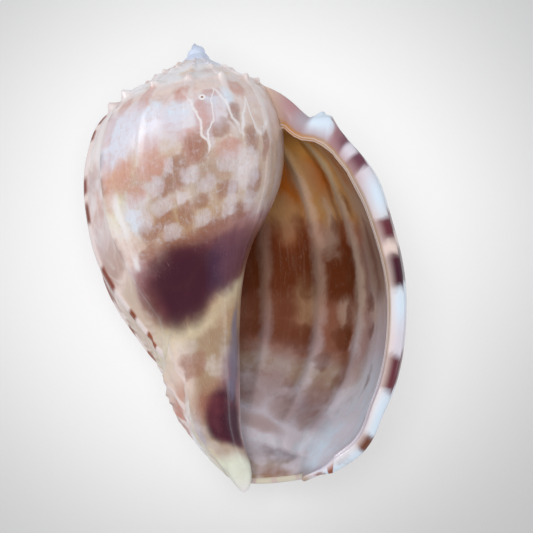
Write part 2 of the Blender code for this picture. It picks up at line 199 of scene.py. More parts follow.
# The markings and the patches of painted sheen, each at a turn angle and a growth-line place, with half
# widths of the same kinds.
PALE_PATCHES = (
    (288, 1.66, 2.5, 0.05), (306, 1.57, 2.2, 0.06), (276, 1.40, 2.0, 0.04), (250, 1.50, 2.2, 0.03),
    (216, 1.29, 10, 0.11), (240, 1.32, 8, 0.07), (281, 1.275, 5, 0.075), (285, 1.525, 5, 0.035),
    (242, 1.555, 5, 0.024), (272, 1.60, 4, 0.026), (244, 1.635, 5, 0.026), (256, 1.64, 3, 0.016),
    (268, 1.737, 5, 0.024), (287, 1.725, 4.5, 0.03), (246, 1.752, 5, 0.024), (296, 1.56, 7, 0.07),
    (303, 1.705, 4, 0.04), (231, 1.63, 4, 0.05), (227, 1.20, 6, 0.06), (256, 1.35, 5, 0.06),
    (262, 1.545, 5, 0.026), (224, 1.595, 5, 0.035), (334, 1.60, 4, 0.12),
)
BROWN_PATCHES = (
    (267, 1.445, 6, 0.05), (281, 1.38, 6, 0.032), (291.5, 1.315, 3.6, 0.045), (302, 1.435, 4, 0.055),
    (243, 1.695, 5.5, 0.032), (267, 1.665, 5, 0.026), (285, 1.645, 6, 0.026), (251, 1.57, 6.5, 0.032),
    (306, 1.63, 5, 0.05), (277, 1.785, 10, 0.024), (226, 1.77, 6, 0.024), (314, 1.46, 2.6, 0.06),
    (222, 2.50, 9, 0.06), (240, 2.52, 12, 0.06), (257, 1.70, 4, 0.035), (296, 1.755, 5, 0.035),
    (257, 1.50, 5, 0.03), (233, 1.71, 5, 0.03),
)
SALMON_PATCHES = (
    (222, 1.475, 6, 0.05), (240, 1.42, 4.5, 0.05), (272.5, 1.32, 4.6, 0.075), (241, 1.485, 7, 0.035),
    (230, 1.56, 5, 0.03), (279, 1.18, 5, 0.03), (263, 1.39, 5, 0.025), (259, 1.15, 4, 0.06),
    (286, 1.475, 7, 0.035), (211, 1.47, 3.5, 0.08), (233, 1.10, 4, 0.11), (209, 1.26, 4.5, 0.06),
    (265, 1.45, 4, 0.04), (299, 1.13, 5, 0.07), (217, 1.13, 4, 0.06),
)
SPIRE_SPOTS = ((259, 0.45, 6, 0.14), (300, 0.62, 5, 0.12), (228, 0.7, 5, 0.14))
# Bluish-white clouds high on the callus: partly its own pale blue patches, partly a painted bluish
# sheen where the upper-left light gleams.
BLUE_PATCHES_AND_SHEEN = (
    (216, 1.30, 9, 0.07), (238, 1.23, 7, 0.05), (207, 1.33, 5, 0.06), (277, 1.22, 4, 0.05),
    (256, 1.27, 5, 0.04), (288, 1.22, 3, 0.06), (226, 1.64, 4, 0.04),
)
WINE_PATCHES = (
    (229, 2.09, 17, 0.13), (249, 2.15, 15, 0.1), (264, 2.06, 14, 0.1), (244, 1.94, 20, 0.09),
    (290, 2.95, 26, 0.1), (280, 2.03, 15, 0.1),
)
PLUM_PATCHES = ((306, 2.66, 14, 0.1), (303, 2.03, 16, 0.11), (292, 1.93, 12, 0.06))
# Painted reflection: a bluish sheen down the right edge of the columella, laid in slate.
SLATE_SHEEN_PATCHES = ((322, 2.57, 13, 0.12), (310, 2.72, 8, 0.05), (318, 2.42, 7, 0.08))
ORANGE_PATCHES = ((51, 1.17, 8, 0.09), (31, 1.15, 5.5, 0.08), (63, 1.06, 7, 0.07), (6, 1.10, 6, 0.09))
TAN_PATCHES = ((41, 1.13, 6, 0.10), (56, 1.30, 7, 0.05), (33, 1.27, 6, 0.06), (50, 1.545, 4, 0.05))
UMBER_PATCHES = (
    (51, 1.645, 6, 0.032), (32, 1.635, 4, 0.03), (66, 1.63, 9, 0.034), (69, 1.44, 9, 0.10),
    (50, 1.42, 3.2, 0.09), (32, 1.43, 7, 0.075), (50, 1.46, 5, 0.035), (10, 1.42, 4.5, 0.08),
    (38, 1.46, 3, 0.05), (64, 1.56, 10, 0.04),
)
RUSSET_CLOUDS = (
    (60, 1.82, 9, 0.05), (34, 1.83, 6, 0.05), (48, 1.92, 7, 0.06), (30, 1.93, 6, 0.05),
    (70, 1.90, 8, 0.06), (60, 2.10, 12, 0.06), (24, 1.72, 4, 0.04), (40, 2.9, 14, 0.10),
)
# Turn angle and strength of the pale growth streaks inside the lip, and of the pale folds there.
INNER_STREAKS = ((1.5, 0.7), (8.0, 0.5), (14.5, 0.35))
PALE_FOLDS = tuple(zip(INNER_FOLDS, (0.95, 0.45, 0.3, 0.2)))
HOOK_PATCHES = (
    (37.5, 1.365, 4.2, 0.035), (34, 1.32, 1.6, 0.06), (43, 1.24, 2.2, 0.09),
    (31, 1.56, 3.0, 0.03), (14, 1.555, 2.6, 0.02),
)
DARK_HOOKS = (
    (33, 1.335, 1.5, 0.02), (19.5, 1.25, 1.2, 0.03), (33, 1.515, 3, 0.014), (29, 1.61, 1.4, 0.02),
    (28.5, 1.57, 1.0, 0.03), (17, 1.53, 1.2, 0.014), (16.5, 1.60, 1.2, 0.014), (39, 1.71, 2.6, 0.016),
    (26, 1.74, 1.2, 0.03), (11, 1.74, 1.0, 0.03),
)
# The thin pale line that zigzags below the shoulder: turn angle, and place past the shoulder.
ZIGZAG = (
    (257.0, 0.12), (262.0, 0.16), (268.0, 0.30), (274.0, 0.45), (277.0, 0.34), (280.0, 0.14),
    (285.0, 0.22), (295.0, 0.41), (302.0, 0.24), (307.0, 0.38), (313.0, 0.41), (320.0, 0.33),
)
# The dark blocks along every rib and the lip: centre and half length. A colour ramp holds seven.
RIB_BLOCKS = (
    (1.06, 0.034), (1.166, 0.028), (1.362, 0.028), (1.458, 0.038), (1.695, 0.042), (1.886, 0.024),
    (2.07, 0.06),
)
RINGED_DOT = (272.0, 1.213)
EDGE_DRIFT = (8.0, 0.08)  # how far the edges of the markings waver, in phi and s
GLAZED_ROUGHNESS = 0.28
BARE_ROUGHNESS = 0.16  # added where no glaze lies
COAT = (0.45, 0.13)  # weight and roughness of the clear coat
GROWTH_LINES = (0.4, 0.00015)  # strength and depth of the bump

# How the shell is seen: camera angles in degrees, sizes in metres.
VIEW_PITCH = 14.0
VIEW_LEAN = 3.2
FRAME_WIDTH = 0.0769
FRAME_RIGHT_OF_APEX = 0.01036
FRAME_BELOW_APEX = 0.03237
CAMERA_DISTANCE = 1.2
FLOOR_COLOUR = (0.86, 0.865, 0.88, 1.0)
# The middle of the floor's soft light, where its edge starts and ends, and how much it darkens.
FLOOR_LIGHT_SPOT = (0.0, 0.01, 0.0)
FLOOR_SHADE = (0.02, 0.064, 0.6)
FLOOR_LIFT = 0.62  # how much of the floor's seen brightness does not depend on the lamps
FLOOR_HALF_WIDTH = 3.0
WORLD_COLOUR = (0.93, 0.96, 1.0, 1.0)
WORLD_STRENGTH = 0.28
# Each lamp: direction from the shell, distance, size, power, colour, and whether its own
# reflection shows. The broad front light is left out of the gloss, the two side lights make the sheen.
LAMPS = {
    "front": ((-0.06, -0.24, 1.0), 1.4, 0.5, 13.0, (1.0, 0.975, 0.94), False),
    "window": ((-0.8, 0.6, 0.5), 0.9, 0.4, 2.6, (0.88, 0.94, 1.0), True),
    "edge": ((1.0, 0.0, 0.3), 0.7, 0.3, 0.7, (0.84, 0.92, 1.0), True),
}


def smoothstep(low, high, x):
    """0 below low and 1 above high, with a soft rise between them. High may be less than low."""
    t = np.clip((np.asarray(x, float) - low) / (high - low), 0.0, 1.0)
    return t * t * (3.0 - 2.0 * t)


def bell(x, centre, width):
    """1 at the centre, fading evenly to both sides."""
    return np.exp(-(((x - centre) / width) ** 2))


def table(rows, x):
    """A smooth line through the rows of a table that never overshoots them."""
    rows = np.array(rows)
    at, value = rows.T
    gap = np.diff(at)
    rise = np.diff(value) / gap
    slope = np.zeros_like(at)
    same_way = rise[:-1] * rise[1:] > 0
    both = np.where(same_way, rise[:-1] * rise[1:], 1.0)
    slope[1:-1] = np.where(same_way, 2 * both / np.where(same_way, rise[:-1] + rise[1:], 1.0), 0)
    slope[0], slope[-1] = rise[0], rise[-1]
    x = np.clip(np.asarray(x, float), at[0], at[-1])
    i = np.clip(np.searchsorted(at, x, side="right") - 1, 0, len(at) - 2)
    u = (x - at[i]) / gap[i]
    start = value[i] * (1 + 2 * u) * (1 - u) ** 2 + slope[i] * gap[i] * u * (1 - u) ** 2
    return start + value[i + 1] * (3 - 2 * u) * u**2 + slope[i + 1] * gap[i] * (u - 1) * u**2


def curve(points, f):
    """A smooth curve through evenly counted points, at fraction f from 0 to 1."""
    p = np.array(points)
    last = len(p) - 1
    x = np.clip(np.asarray(f, float), 0.0, 1.0) * last
    i = np.clip(np.floor(x).astype(int), 0, last - 1)
    u = (x - i)[..., None]
    a = p[np.maximum(i - 1, 0)]
    b = p[i]
    c = p[i + 1]
    d = p[np.minimum(i + 2, last)]
    return 0.5 * (2 * b + (c - a) * u + (2 * a - 5 * b + 4 * c - d) * u**2
                  + (3 * b - a - 3 * c + d) * u**3)


def growth(phi):
    """Size of the whorl at a turn angle, as a share of its size at the lip."""
    return TURN_GROWTH ** (-(phi - LIP_ANGLE) / 360.0)


def suture(phi):
    """Radius and depth of the suture: a spiral that turns into the steep protoconch."""
    phi = np.asarray(phi, float)
    size = growth(np.minimum(phi, PROTOCONCH_START))
    left = 1.0 - (phi - PROTOCONCH_START) / (360.0 * PROTOCONCH_TURNS)
    left = np.clip(left, 0.0, 1.0)
    r = SUTURE[0] * size * np.where(phi > PROTOCONCH_START, 0.12 + 0.88 * left, 1.0)
    t = SPIRAL_TOP + (SUTURE[1] - SPIRAL_TOP) * size
    t = np.where(phi > PROTOCONCH_START, 0.25 + (t - 0.25) * left, t)
    return r, t


def ramp(phi, w):
    """From the suture, w = 0, to the line that the next whorl grows over, w = 1."""
    r0, t0 = suture(phi)
    r1, t1 = np.where(phi < 300.0, whorl(phi, np.zeros_like(phi)), suture(phi - 360.0))
    early = smoothstep(PROTOCONCH_START + 300.0, PROTOCONCH_START + 420.0, phi)
    late = smoothstep(34.0, LIP_ANGLE, phi)
    bow = RAMP_BULGE * np.clip(w / 0.8, 0, 1) * np.clip((1 - w) / 0.2, 0, 1)
    bow = bow * (1 - early) + PROTOCONCH_BULGE * early * 4 * w * (1 - w)
    bow = bow * (1 - late) - LIP_RAMP_SAG * late * 12.2 * w**4 * (1 - w)
    r = r0 + (r1 - r0) * w + bow * (t1 - t0)
    t = t0 + (t1 - t0) * w - bow * (r1 - r0)
    return r, t


def whorl(phi, f):
    """Radius and depth down the side of a whorl, f = 0 to 1, flaring towards the lip."""
    size = growth(phi)
    flare = smoothstep(62.0, LIP_ANGLE, phi)
    body = curve(BODY_PROFILE, f)
    lip = curve(LIP_PROFILE, f)
    r = body[..., 0] + (lip[..., 0] - body[..., 0]) * flare
    t = body[..., 1] + (lip[..., 1] - body[..., 1]) * flare
    return r * size, SPIRAL_TOP + (t - SPIRAL_TOP) * size


def band(phi, g):
    """From the base of the whorl down the siphonal band, g = 0 to 1."""
    size = growth(phi)
    r0, t0 = whorl(phi, np.ones_like(phi))
    t = t0 + (table(BAND_END, phi) - t0) * g
    reach = BAND_REACH - BAND_PINCH * smoothstep(90.0, 140.0, phi) * smoothstep(300.0, 230.0, phi)
    cut = smoothstep(122.0, 160.0, phi) * smoothstep(52.0, 61.0, t)
    fade = np.exp(-(t - t0) / (reach * size)) * (1 - cut)
    fade = fade * (1 - 0.25 * g * smoothstep(20.0, LIP_ANGLE, phi))
    behind = smoothstep(0.0, 40.0, phi) * smoothstep(262.0, 190.0, phi)
    line = g - table(FASCIOLE_LINE, phi)
    scales = 1 + 0.16 * np.sin(np.radians(phi * RIBS_PER_TURN * 2 + 900 * line))
    ridge = FASCIOLE * bell(line, 0.0, 0.12) * behind * scales
    return table(COLUMELLA, t) + (r0 - table(COLUMELLA, t0)) * fade + ridge, t


def tip(phi, h):
    """From the siphonal band to the end of the columella, h = 0 to 1, with a chipped surface."""
    r0, t0 = band(phi, np.ones_like(phi))
    t = t0 + (LENGTH - t0) * np.sin(0.5 * np.pi * h)
    extra = np.maximum(r0 - table(COLUMELLA, t0), 0.0) * (1 - h) ** 3.0
    a = np.radians(phi)
    chipped = 1 + (0.06 * np.sin(5 * a + 9 * h) + 0.03 * np.sin(13 * a + 25 * h)) * np.sin(np.pi * h)
    return (table(COLUMELLA, t) + extra) * chipped, t


def section(phi, s):
    """Radius and depth of the smooth outer skin at growth-line place s."""
    phi, s = np.broadcast_arrays(np.asarray(phi, float), np.asarray(s, float))
    parts = (
        ramp(phi, np.clip(s, 0, 1)), whorl(phi, np.clip(s - 1, 0, 1)),
        band(phi, np.clip(s - 2, 0, 1)), tip(phi, np.clip(s - 3, 0, 1)),
    )
    pick = [s <= 1, s <= 2, s <= 3, s <= 4.01]
    r = np.select(pick, [p[0] for p in parts])
    t = np.select(pick, [p[1] for p in parts])
    return r, t


def place(phi, r, t):
    """A point from its angle, radius and depth. The siphonal end bends to one side and back."""
    bend = smoothstep(SIPHON_BEND_START, LENGTH, t)
    a = np.radians(phi)
    x = r * np.cos(a) + SIPHON_BEND[0] * bend
    y = r * np.sin(a) + SIPHON_BEND[1] * bend
    return np.stack([x, y, -t], axis=-1)


def smooth_skin(phi, s):
    """Points of the outer skin without ribs, spines or callus."""
    return place(np.broadcast_to(phi, np.broadcast(phi, s).shape), *section(phi, s))


def outward(phi, s):
    """Unit normals of the smooth outer skin."""
    s = np.asarray(s, float)
    along = smooth_skin(phi, np.minimum(s + 0.04, 3.99)) - smooth_skin(phi, np.maximum(s - 0.04, 0))
    around = smooth_skin(phi + 0.5, s) - smooth_skin(phi - 0.5, s)
    n = np.cross(around, along)
    n /= np.maximum(np.linalg.norm(n, axis=-1, keepdims=True), 1e-12)
    return -n


def glazed(phi, s):
    """How far the glossy callus covers the ribs, from 0 to 1."""
    edge = 5.0 * np.sin(7.0 * s) + 3.0 * np.sin(17.0 * s + 1.0)
    front = smoothstep(198.0, 216.0, phi + edge) * smoothstep(760.0, 700.0, phi)
    spire = smoothstep(342.0, 366.0, phi) * smoothstep(600.0, 560.0, phi)
    return np.where(s <= 1.0, front * (1 - spire), front)


def from_crest(phi):
    """Degrees behind the crest of the nearest rib."""
    return (phi - LIP_ANGLE - RIB_CREST + RIB_STEP / 2) % RIB_STEP - RIB_STEP / 2


def rib_shape(phi):
    """1 on the crest of each rib and 0 between the ribs: steep in front, gentle behind."""
    d = from_crest(phi)
    front = np.where(phi < LIP_ANGLE + RIB_CREST, 1.0, smoothstep(-4.0, -1.2, d))
    return front * smoothstep(5.6, 0.9, d)


def uneven(phi, s, size):
    """The slow swells and dents that a grown surface has."""
    a = np.radians(phi)
    swell = np.sin(3 * a + 2.1 * s) + np.sin(5 * a - 4.3 * s + 1.0) + np.sin(11 * s + 2 * a)
    fine = np.sin(23 * a + 9 * s) + np.sin(31 * a - 26 * s + 2.0)
    return size * (0.05 * swell + 0.016 * fine) * smoothstep(0.0, 0.3, s) * smoothstep(3.2, 2.4, s)


def outer_skin(phi, s):
    """The outer skin with its ribs, shoulder spines and callus."""
    phi, s = np.broadcast_arrays(np.asarray(phi, float), np.asarray(s, float))
    size = growth(phi)
    glaze = glazed(phi, s)
    inside = smoothstep(342.0, 350.0, phi) * (s > 1.0)
    grown = smoothstep(PROTOCONCH_START, PROTOCONCH_START - 80.0, phi) * (1 - inside)
    along = table(((0, 0.2), (0.3, 0.6), (0.85, 1), (1.1, 1), (1.7, 0.8), (2.0, 0.5), (2.4, 0)), s)
    shape = rib_shape(phi)
    covered = 1 - (0.35 + 0.45 * smoothstep(0.95, 1.15, s)) * glaze
    rise = RIB_HEIGHT * size * shape * along * covered * grown
    callus = CALLUS_THICKNESS * glaze * smoothstep(1.1, 1.5, s)
    callus = callus * smoothstep(395.0, 345.0, phi) * smoothstep(4.0, 3.0, s)
    g = np.clip(s - 2, 0, 1)
    scallops = np.abs(np.sin(np.pi * (SCALLOPS * g + phi / RIB_STEP))) ** 0.8
    behind = smoothstep(20.0, 60.0, phi) * smoothstep(262.0, 200.0, phi)
    scallops = scallops * SCALLOP_HEIGHT * behind * smoothstep(0.0, 0.15, g) * smoothstep(1.0, 0.85, g)
    lift = rise + callus + uneven(phi, s, size) * grown * smoothstep(LIP_ANGLE, LIP_ANGLE + 9, phi)
    a = np.radians(phi)
    straight_out = np.stack([np.cos(a), np.sin(a), np.zeros_like(a)], axis=-1)
    p = smooth_skin(phi, s) + outward(phi, s) * lift[..., None] + straight_out * scallops[..., None]
    bare = 1 - 0.25 * glaze
    tooth = bell(from_crest(phi), -0.6, 2.8 + 2.2 * glaze)
    shoulder = np.clip(1 - np.abs(s - 0.9) / 0.14, 0, 1) ** 1.3
    nodule = 0.6 * bell(s, 0.15, 0.1) * smoothstep(20.0, 60.0, phi)
    spine = SPINE_HEIGHT * size * tooth * (shoulder + nodule) * bare * grown
    away = 0.66 * straight_out + (0.0, 0.0, 0.75)
    return p + away * spine[..., None]


def wall_at(phi, s):
    """Thickness of the wall: thinner in older whorls, thick along the lip."""
    wall = WALL * (0.35 + 0.65 * growth(phi))
    return wall + (table(LIP_THICKNESS, s) - wall) * smoothstep(12.0, LIP_ANGLE + 4, phi)


def inner_folds(phi, s):
    """Low ridges run down inside the lip, each with a shallow groove behind it."""
    down = smoothstep(0.7, 0.95, s) * smoothstep(2.1, 1.7, s)
    folds = sum(0.36 * bell(phi, at, 2.6) - 0.18 * bell(phi, at + 6.5, 4.5) for at in INNER_FOLDS)
    return folds * down


def inner_skin(phi, s):
    """The wall of the cavity, with its corner under the shoulder rounded off near the lip."""
    phi, s = np.broadcast_arrays(np.asarray(phi, float), np.asarray(s, float))
    sharp = cavity_wall(phi, s)
    rounded = sum(share * cavity_wall(phi, s + step) for step, share in CORNER_ROUNDING)
    blend = smoothstep(0.8, 0.94, s) * smoothstep(1.5, 1.2, s) * smoothstep(70.0, 30.0, phi)
    blend = blend + smoothstep(1.8, 2.1, s) * smoothstep(2.95, 2.6, s) * smoothstep(120.0, 100.0, phi)
    return sharp + (rounded - sharp) * blend[..., None]


def cavity_wall(phi, s):
    """The wall of the cavity with its corner left sharp."""
    reach = np.maximum(s, JOIN_REACH)
    thick = wall_at(phi, reach) + inner_folds(phi, reach)
    p = smooth_skin(phi, reach) - outward(phi, reach) * thick[..., None]
    # Under the suture it runs straight to the whorl before.
    join = outer_skin(phi + 360.0, np.full_like(s, JOIN_ROW))
    p = join + (p - join) * np.minimum(s / JOIN_REACH, 1)[..., None]
    # Behind the notch the cavity ends on the columella, inside the siphonal band.
    g = np.clip(s - 2, 0, 1)
    top = whorl(phi, np.ones_like(phi))[1]
    floor_depth = table(BAND_END, phi + 360.0)
    share = (floor_depth - top) / (table(BAND_END, phi) - top)
    share = np.where(phi > NOTCH_END, share, 1.0)
    near = smooth_skin(phi, 2 + g * share)
    floor = smooth_skin(phi + 360.0, np.full_like(s, 3.0))
    drop = (g**2)[..., None]
    wall = wall_at(phi, s)[..., None] * outward(phi, 2 + g * share)
    closing = near - wall * (1 - drop) + (floor - near) * drop
    blend = (smoothstep(NOTCH_END - 9.0, NOTCH_END, phi) * (s > 2))[..., None]
    return p + (closing - p) * blend


class Weave:
    """Collects shared vertices by name, and faces whose corners know their own phi and s."""

    def __init__(self):
        self.numbers = {}
        self.faces = []
        self.corners = []

    def vertex(self, *key):
        return self.numbers.setdefault(key, len(self.numbers))

    def face(self, *corners):
        """Each corner is a vertex number, its phi and s, and 0 outside to 1 in the cavity."""
        ring = [c for i, c in enumerate(corners) if c[0] != corners[i - 1][0]]
        if len(ring) > 2:
            self.faces.append([c[0] for c in ring])
            self.corners.extend(c[1:] for c in ring)

    def set_points(self, kind, function):
        keys = [k for k in self.numbers if k[0] == kind]
        at = [self.numbers[k] for k in keys]
        values = np.array([k[1:3] for k in keys], float)
        self.points[at] = function(values[:, 0], values[:, 1])


def build_shell():
    """The whole shell: outer skin, cavity, the aperture's edge, and the ends that close it."""
    weave = Weave()
    per_rib = len(RIB_COLUMNS)
    per_turn = RIBS_PER_TURN * per_rib
    rows = RAMP_ROWS + WHORL_ROWS + BAND_ROWS + TIP_ROWS
    shoulder = len(RAMP_ROWS) - 1
    join = rows.index(JOIN_ROW)
    band_end = shoulder + len(WHORL_ROWS) + len(BAND_ROWS)
    tip_end = len(rows) - 1
    notch = NOTCH_COLUMN
    turns = (PROTOCONCH_START - LIP_ANGLE) / 360 + PROTOCONCH_TURNS - 0.02
    last = int(turns * per_turn)

    def angle(c):
        k, i = divmod(c, per_rib)
        return LIP_ANGLE + k * RIB_STEP + RIB_COLUMNS[i]

    def out(j, c):
        if j == 0 and c + per_turn <= last:
            return out(shoulder, c + per_turn)
        if j == tip_end:
            return weave.vertex("out", LIP_ANGLE, rows[tip_end])
        return weave.vertex("out", angle(c), rows[j])

    def inn(j, c):
        if j == 0:
            return out(join, c + per_turn)
        if j == band_end and c >= notch:
            return out(band_end, c + per_turn)
        return weave.vertex("in", angle(c), rows[j])

    def grid(corner, side, j0, j1, c0, c1):
        for c in range(c0, c1):
            for j in range(j0, j1):
                ring = ((j, c), (j + 1, c), (j + 1, c + 1), (j, c + 1))
                weave.face(*((corner(*at), angle(at[1]), rows[at[0]], side) for at in ring))

    grid(out, 0.0, 0, shoulder, 0, last)
    grid(out, 0.0, shoulder, band_end, 0, per_turn)
    grid(out, 0.0, join, band_end, per_turn, per_turn + CAVITY_COLUMNS)
    grid(out, 0.0, band_end, tip_end, notch, notch + per_turn)
    grid(inn, 1.0, 0, band_end, 0, CAVITY_COLUMNS)

    # The edge of the aperture: down the lip, round the notch and down to the tip.
    edge = [(out(j, 0), inn(j, 0), LIP_ANGLE, rows[j]) for j in range(band_end + 1)]
    edge += [(out(band_end, c), inn(band_end, c), angle(c), 3.0) for c in range(1, notch + 1)]
    edge += [
        (out(j, notch), out(j, notch + per_turn), angle(notch), rows[j])
        for j in range(band_end + 1, tip_end + 1)
    ]

    def rim(i, k):
        """Vertex k across the rim at place i on the edge, with its phi, s and side."""
        outer, inner, phi, s = edge[i]
        ends = {0: outer, RIM_STEPS: inner}
        if i in (0, len(edge) - 1):
            number = inner if k == RIM_STEPS else outer
        else:
            number = ends[k] if k in ends else weave.vertex("rim", i, k)
        return number, phi, s, k / RIM_STEPS

    for i in range(1, len(edge) - 1):
        for k in range(RIM_STEPS):
            weave.face(rim(i, k), rim(i + 1, k), rim(i + 1, k + 1), rim(i, k + 1))
    # The corner where the lip meets the whorl before.
    shore = [(out(j, per_turn), angle(per_turn), rows[j], 0.0) for j in range(shoulder, join + 1)]
    shore += [rim(1, k) for k in range(RIM_STEPS, 0, -1)]
    for a, b in zip(shore, shore[1:]):
        weave.face(rim(1, 0), b, a)

    # The blind end of the cavity, and the very top of the apex.
    end = CAVITY_COLUMNS
    blind = [inn(j, end) for j in range(band_end + 1)]
    blind += [out(j, end + per_turn) for j in range(band_end - 1, join, -1)]
    crown = [out(0, c) for c in range(last - per_turn, last + 1)]
    crown += [out(j, last) for j in range(1, shoulder)]
    hub = weave.vertex("hub")
    peak = weave.vertex("peak")
    ends = ((hub, blind, angle(end), 1.5, 1.0), (peak, crown, angle(last), 0.0, 0.0))
    for centre, ring, phi, s, side in ends:
        for i, corner in enumerate(ring):
            weave.face((ring[i - 1], phi, s, side), (corner, phi, s, side), (centre, phi, s, side))

    weave.points = np.zeros((len(weave.numbers), 3))
    weave.set_points("out", outer_skin)
    weave.set_points("in", inner_skin)
    weave.points[hub] = weave.points[blind].mean(axis=0)
    weave.points[peak] = weave.points[crown].mean(axis=0) + (0, 0, PEAK_RISE)
    outer, inner = (weave.points[[e[side] for e in edge]] for side in (0, 1))
    mid = 0.5 * (outer + inner)
    across = outer - inner
    ahead = np.zeros_like(mid)
    ahead[1:-1] = np.cross(across[1:-1], mid[2:] - mid[:-2])
    ahead /= np.maximum(np.linalg.norm(ahead, axis=1, keepdims=True), 1e-9)
    width = np.linalg.norm(across, axis=1)
    steps = np.minimum(np.arange(len(edge)) / 12, 1)
    round_off = LIP_ROUNDING * np.minimum(width / LIP_WALL, 1) * steps
    lined = RIM_LINE_HEIGHT * smoothstep(2.3, 1.8, np.array([e[3] for e in edge]))
    for k in range(1, RIM_STEPS):
        share = k / RIM_STEPS
        turn = np.pi * share
        lines = sum(bell(share, at, 0.025) for at in RIM_LINES) - bell(share, 0.79, 0.04)
        forward = round_off * (np.sin(turn) ** 0.7 + lined * lines)
        sideways = 0.5 * (0.35 * np.cos(turn) + 0.65 * (1 - 2 * share))
        for i in range(1, len(edge) - 1):
            point = mid[i] + sideways * across[i] - forward[i] * ahead[i]
            weave.points[weave.numbers[("rim", i, k)]] = point
    return weave


def lay_down(points):
    """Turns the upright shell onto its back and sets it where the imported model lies."""
    tilt = Euler([np.radians(a) for a in REST_TILT]).to_matrix()
    laid = tilt @ Matrix.Rotation(np.radians(-90.0), 3, "X")
    points = points @ np.array(laid).T
    worn = points[:, 2].min() + RESTING_WEAR
    points[:, 2] = np.maximum(points[:, 2], worn)
    points = points * MILLIMETRE
    low, high = (np.array(corner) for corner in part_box("shell"))
    shift = 0.5 * (low + high) - 0.5 * (points.min(0) + points.max(0))
    shift[2] = low[2] - points[:, 2].min()
    return points + shift


def shell_mesh():
    """One closed mesh, whose face corners carry phi, s and side."""
    weave = build_shell()
    mesh = bpy.data.meshes.new("harp_shell")
    mesh.from_pydata(lay_down(weave.points).tolist(), [], weave.faces)
    values = np.array(weave.corners, np.float32)
    for name, column in zip(("phi", "s", "side"), values.T):
        layer = mesh.attributes.new(name, "FLOAT", "CORNER")
        layer.data.foreach_set("value", np.ascontiguousarray(column))
    bm = bmesh.new()
    bm.from_mesh(mesh)
    bmesh.ops.recalc_face_normals(bm, faces=bm.faces)
    if bm.calc_volume(signed=True) < 0:
        bmesh.ops.reverse_faces(bm, faces=bm.faces)
    bm.to_mesh(mesh)
    bm.free()
    mesh.shade_smooth()
    return mesh


def tint(name):
    """A linear colour from the list of colours."""
    code = COLOURS[name]
    parts = [int(code[i:i + 2], 16) / 255 for i in (1, 3, 5)]
    return tuple(p / 12.92 if p < 0.04045 else ((p + 0.055) / 1.055) ** 2.4 for p in parts) + (1.0,)


class Paint:
    """Adds shader nodes to a tree. A socket stands for a number or a colour over the surface."""

    def __init__(self, tree):
        self.tree = tree

    def feed(self, socket, value):
        if isinstance(value, bpy.types.NodeSocket):
            self.tree.links.new(value, socket)
        elif isinstance(value, str):
            socket.default_value = tint(value)
        else:
            socket.default_value = value

    def node(self, kind, settings, inputs):
        node = self.tree.nodes.new(kind)
        for name, value in settings.items():
            setattr(node, name, value)
        for name, value in inputs.items():
            self.feed(node.inputs[name], value)
        return node

    def attribute(self, name):
        return self.node("ShaderNodeAttribute", {"attribute_name": name}, {}).outputs["Fac"]

    def math(self, operation, *values):
        node = self.node("ShaderNodeMath", {"operation": operation}, {})
        for socket, value in zip(node.inputs, values):
            self.feed(socket, value)
        return node.outputs[0]

    def add(self, a, *more):
        for b in more:
            a = self.math("ADD", a, b)
        return a

    def times(self, a, *more):
        for b in more:
            a = self.math("MULTIPLY", a, b)
        return a

    def less(self, a, b):
        return self.math("SUBTRACT", a, b)

    def most(self, a, b):
        return self.math("MAXIMUM", a, b)

    def other(self, a):
        return self.math("SUBTRACT", 1.0, a)

    # A smooth step and a colour ramp both stop at their ends, so neither range node has a clamp.
    def step(self, x, low, high):
        """0 at low and 1 at high, with soft ends. High may be less than low."""
        inputs = {"Value": x, "From Min": min(low, high), "From Max": max(low, high)}
        inputs.update({"To Min": 1.0, "To Max": 0.0} if high < low else {})
        settings = {"interpolation_type": "SMOOTHSTEP", "clamp": False}
        return self.node("ShaderNodeMapRange", settings, inputs).outputs["Result"]

    def near(self, x, centre, inside, outside):
        """1 within inside of the centre, fading to 0 at outside."""
        return self.step(self.math("ABSOLUTE", self.less(x, centre)), outside, inside)

    def between(self, x, low, high, soft):
        half = 0.5 * (high - low)
        return self.near(x, 0.5 * (low + high), half - soft, half + soft)

    def mix(self, share, a, b):
        node = self.node("ShaderNodeMix", {"data_type": "RGBA"}, {})
        self.feed(node.inputs[0], share)
        self.feed(node.inputs[6], a)
        self.feed(node.inputs[7], b)
        return node.outputs[2]

    def lay(self, base, colour, *shares):
        """The base with a colour laid over it, as strongly as the product of the shares."""
        return self.mix(self.times(*shares), base, colour)

    def along(self, x, stops, blend="EASE"):
        """Colours or numbers at places along x, with smooth or straight changes between them."""
        low, high = stops[0][0], stops[-1][0]
        inputs = {"Value": x, "From Min": low, "From Max": high}
        spread = self.node("ShaderNodeMapRange", {"clamp": False}, inputs)
        node = self.node("ShaderNodeValToRGB", {}, {"Fac": spread.outputs["Result"]})
        node.color_ramp.interpolation = blend
        elements = node.color_ramp.elements
        while len(elements) < len(stops):
            elements.new(0.5)
        for element, (at, value) in zip(elements, stops):
            element.position = (at - low) / (high - low)
        for element, (at, value) in zip(elements, stops):
            element.color = tint(value) if isinstance(value, str) else (value, value, value, 1.0)
        return node.outputs["Color"]

    def shades(self, x, name):
        """The colours of a named line, at their places along x."""
        stops = [stop.split(" ", 1) for stop in COLOUR_LINES[name].split(", ")]
        return self.along(x, [(float(at), colour) for at, colour in stops])

    def noise(self, vector, scale, detail=2.0, rough=0.5, warp=0.0):
        inputs = {"Vector": vector, "Scale": scale, "Detail": detail, "Roughness": rough}
        inputs["Distortion"] = warp
        return self.node("ShaderNodeTexNoise", {}, inputs).outputs["Fac"]

    def vector(self, x, y, z=0.0):
        return self.node("ShaderNodeCombineXYZ", {}, {"X": x, "Y": y, "Z": z}).outputs[0]

    def random(self, x):
        node = self.node("ShaderNodeTexWhiteNoise", {"noise_dimensions": "1D"}, {"W": x})
        return node.outputs["Value"]


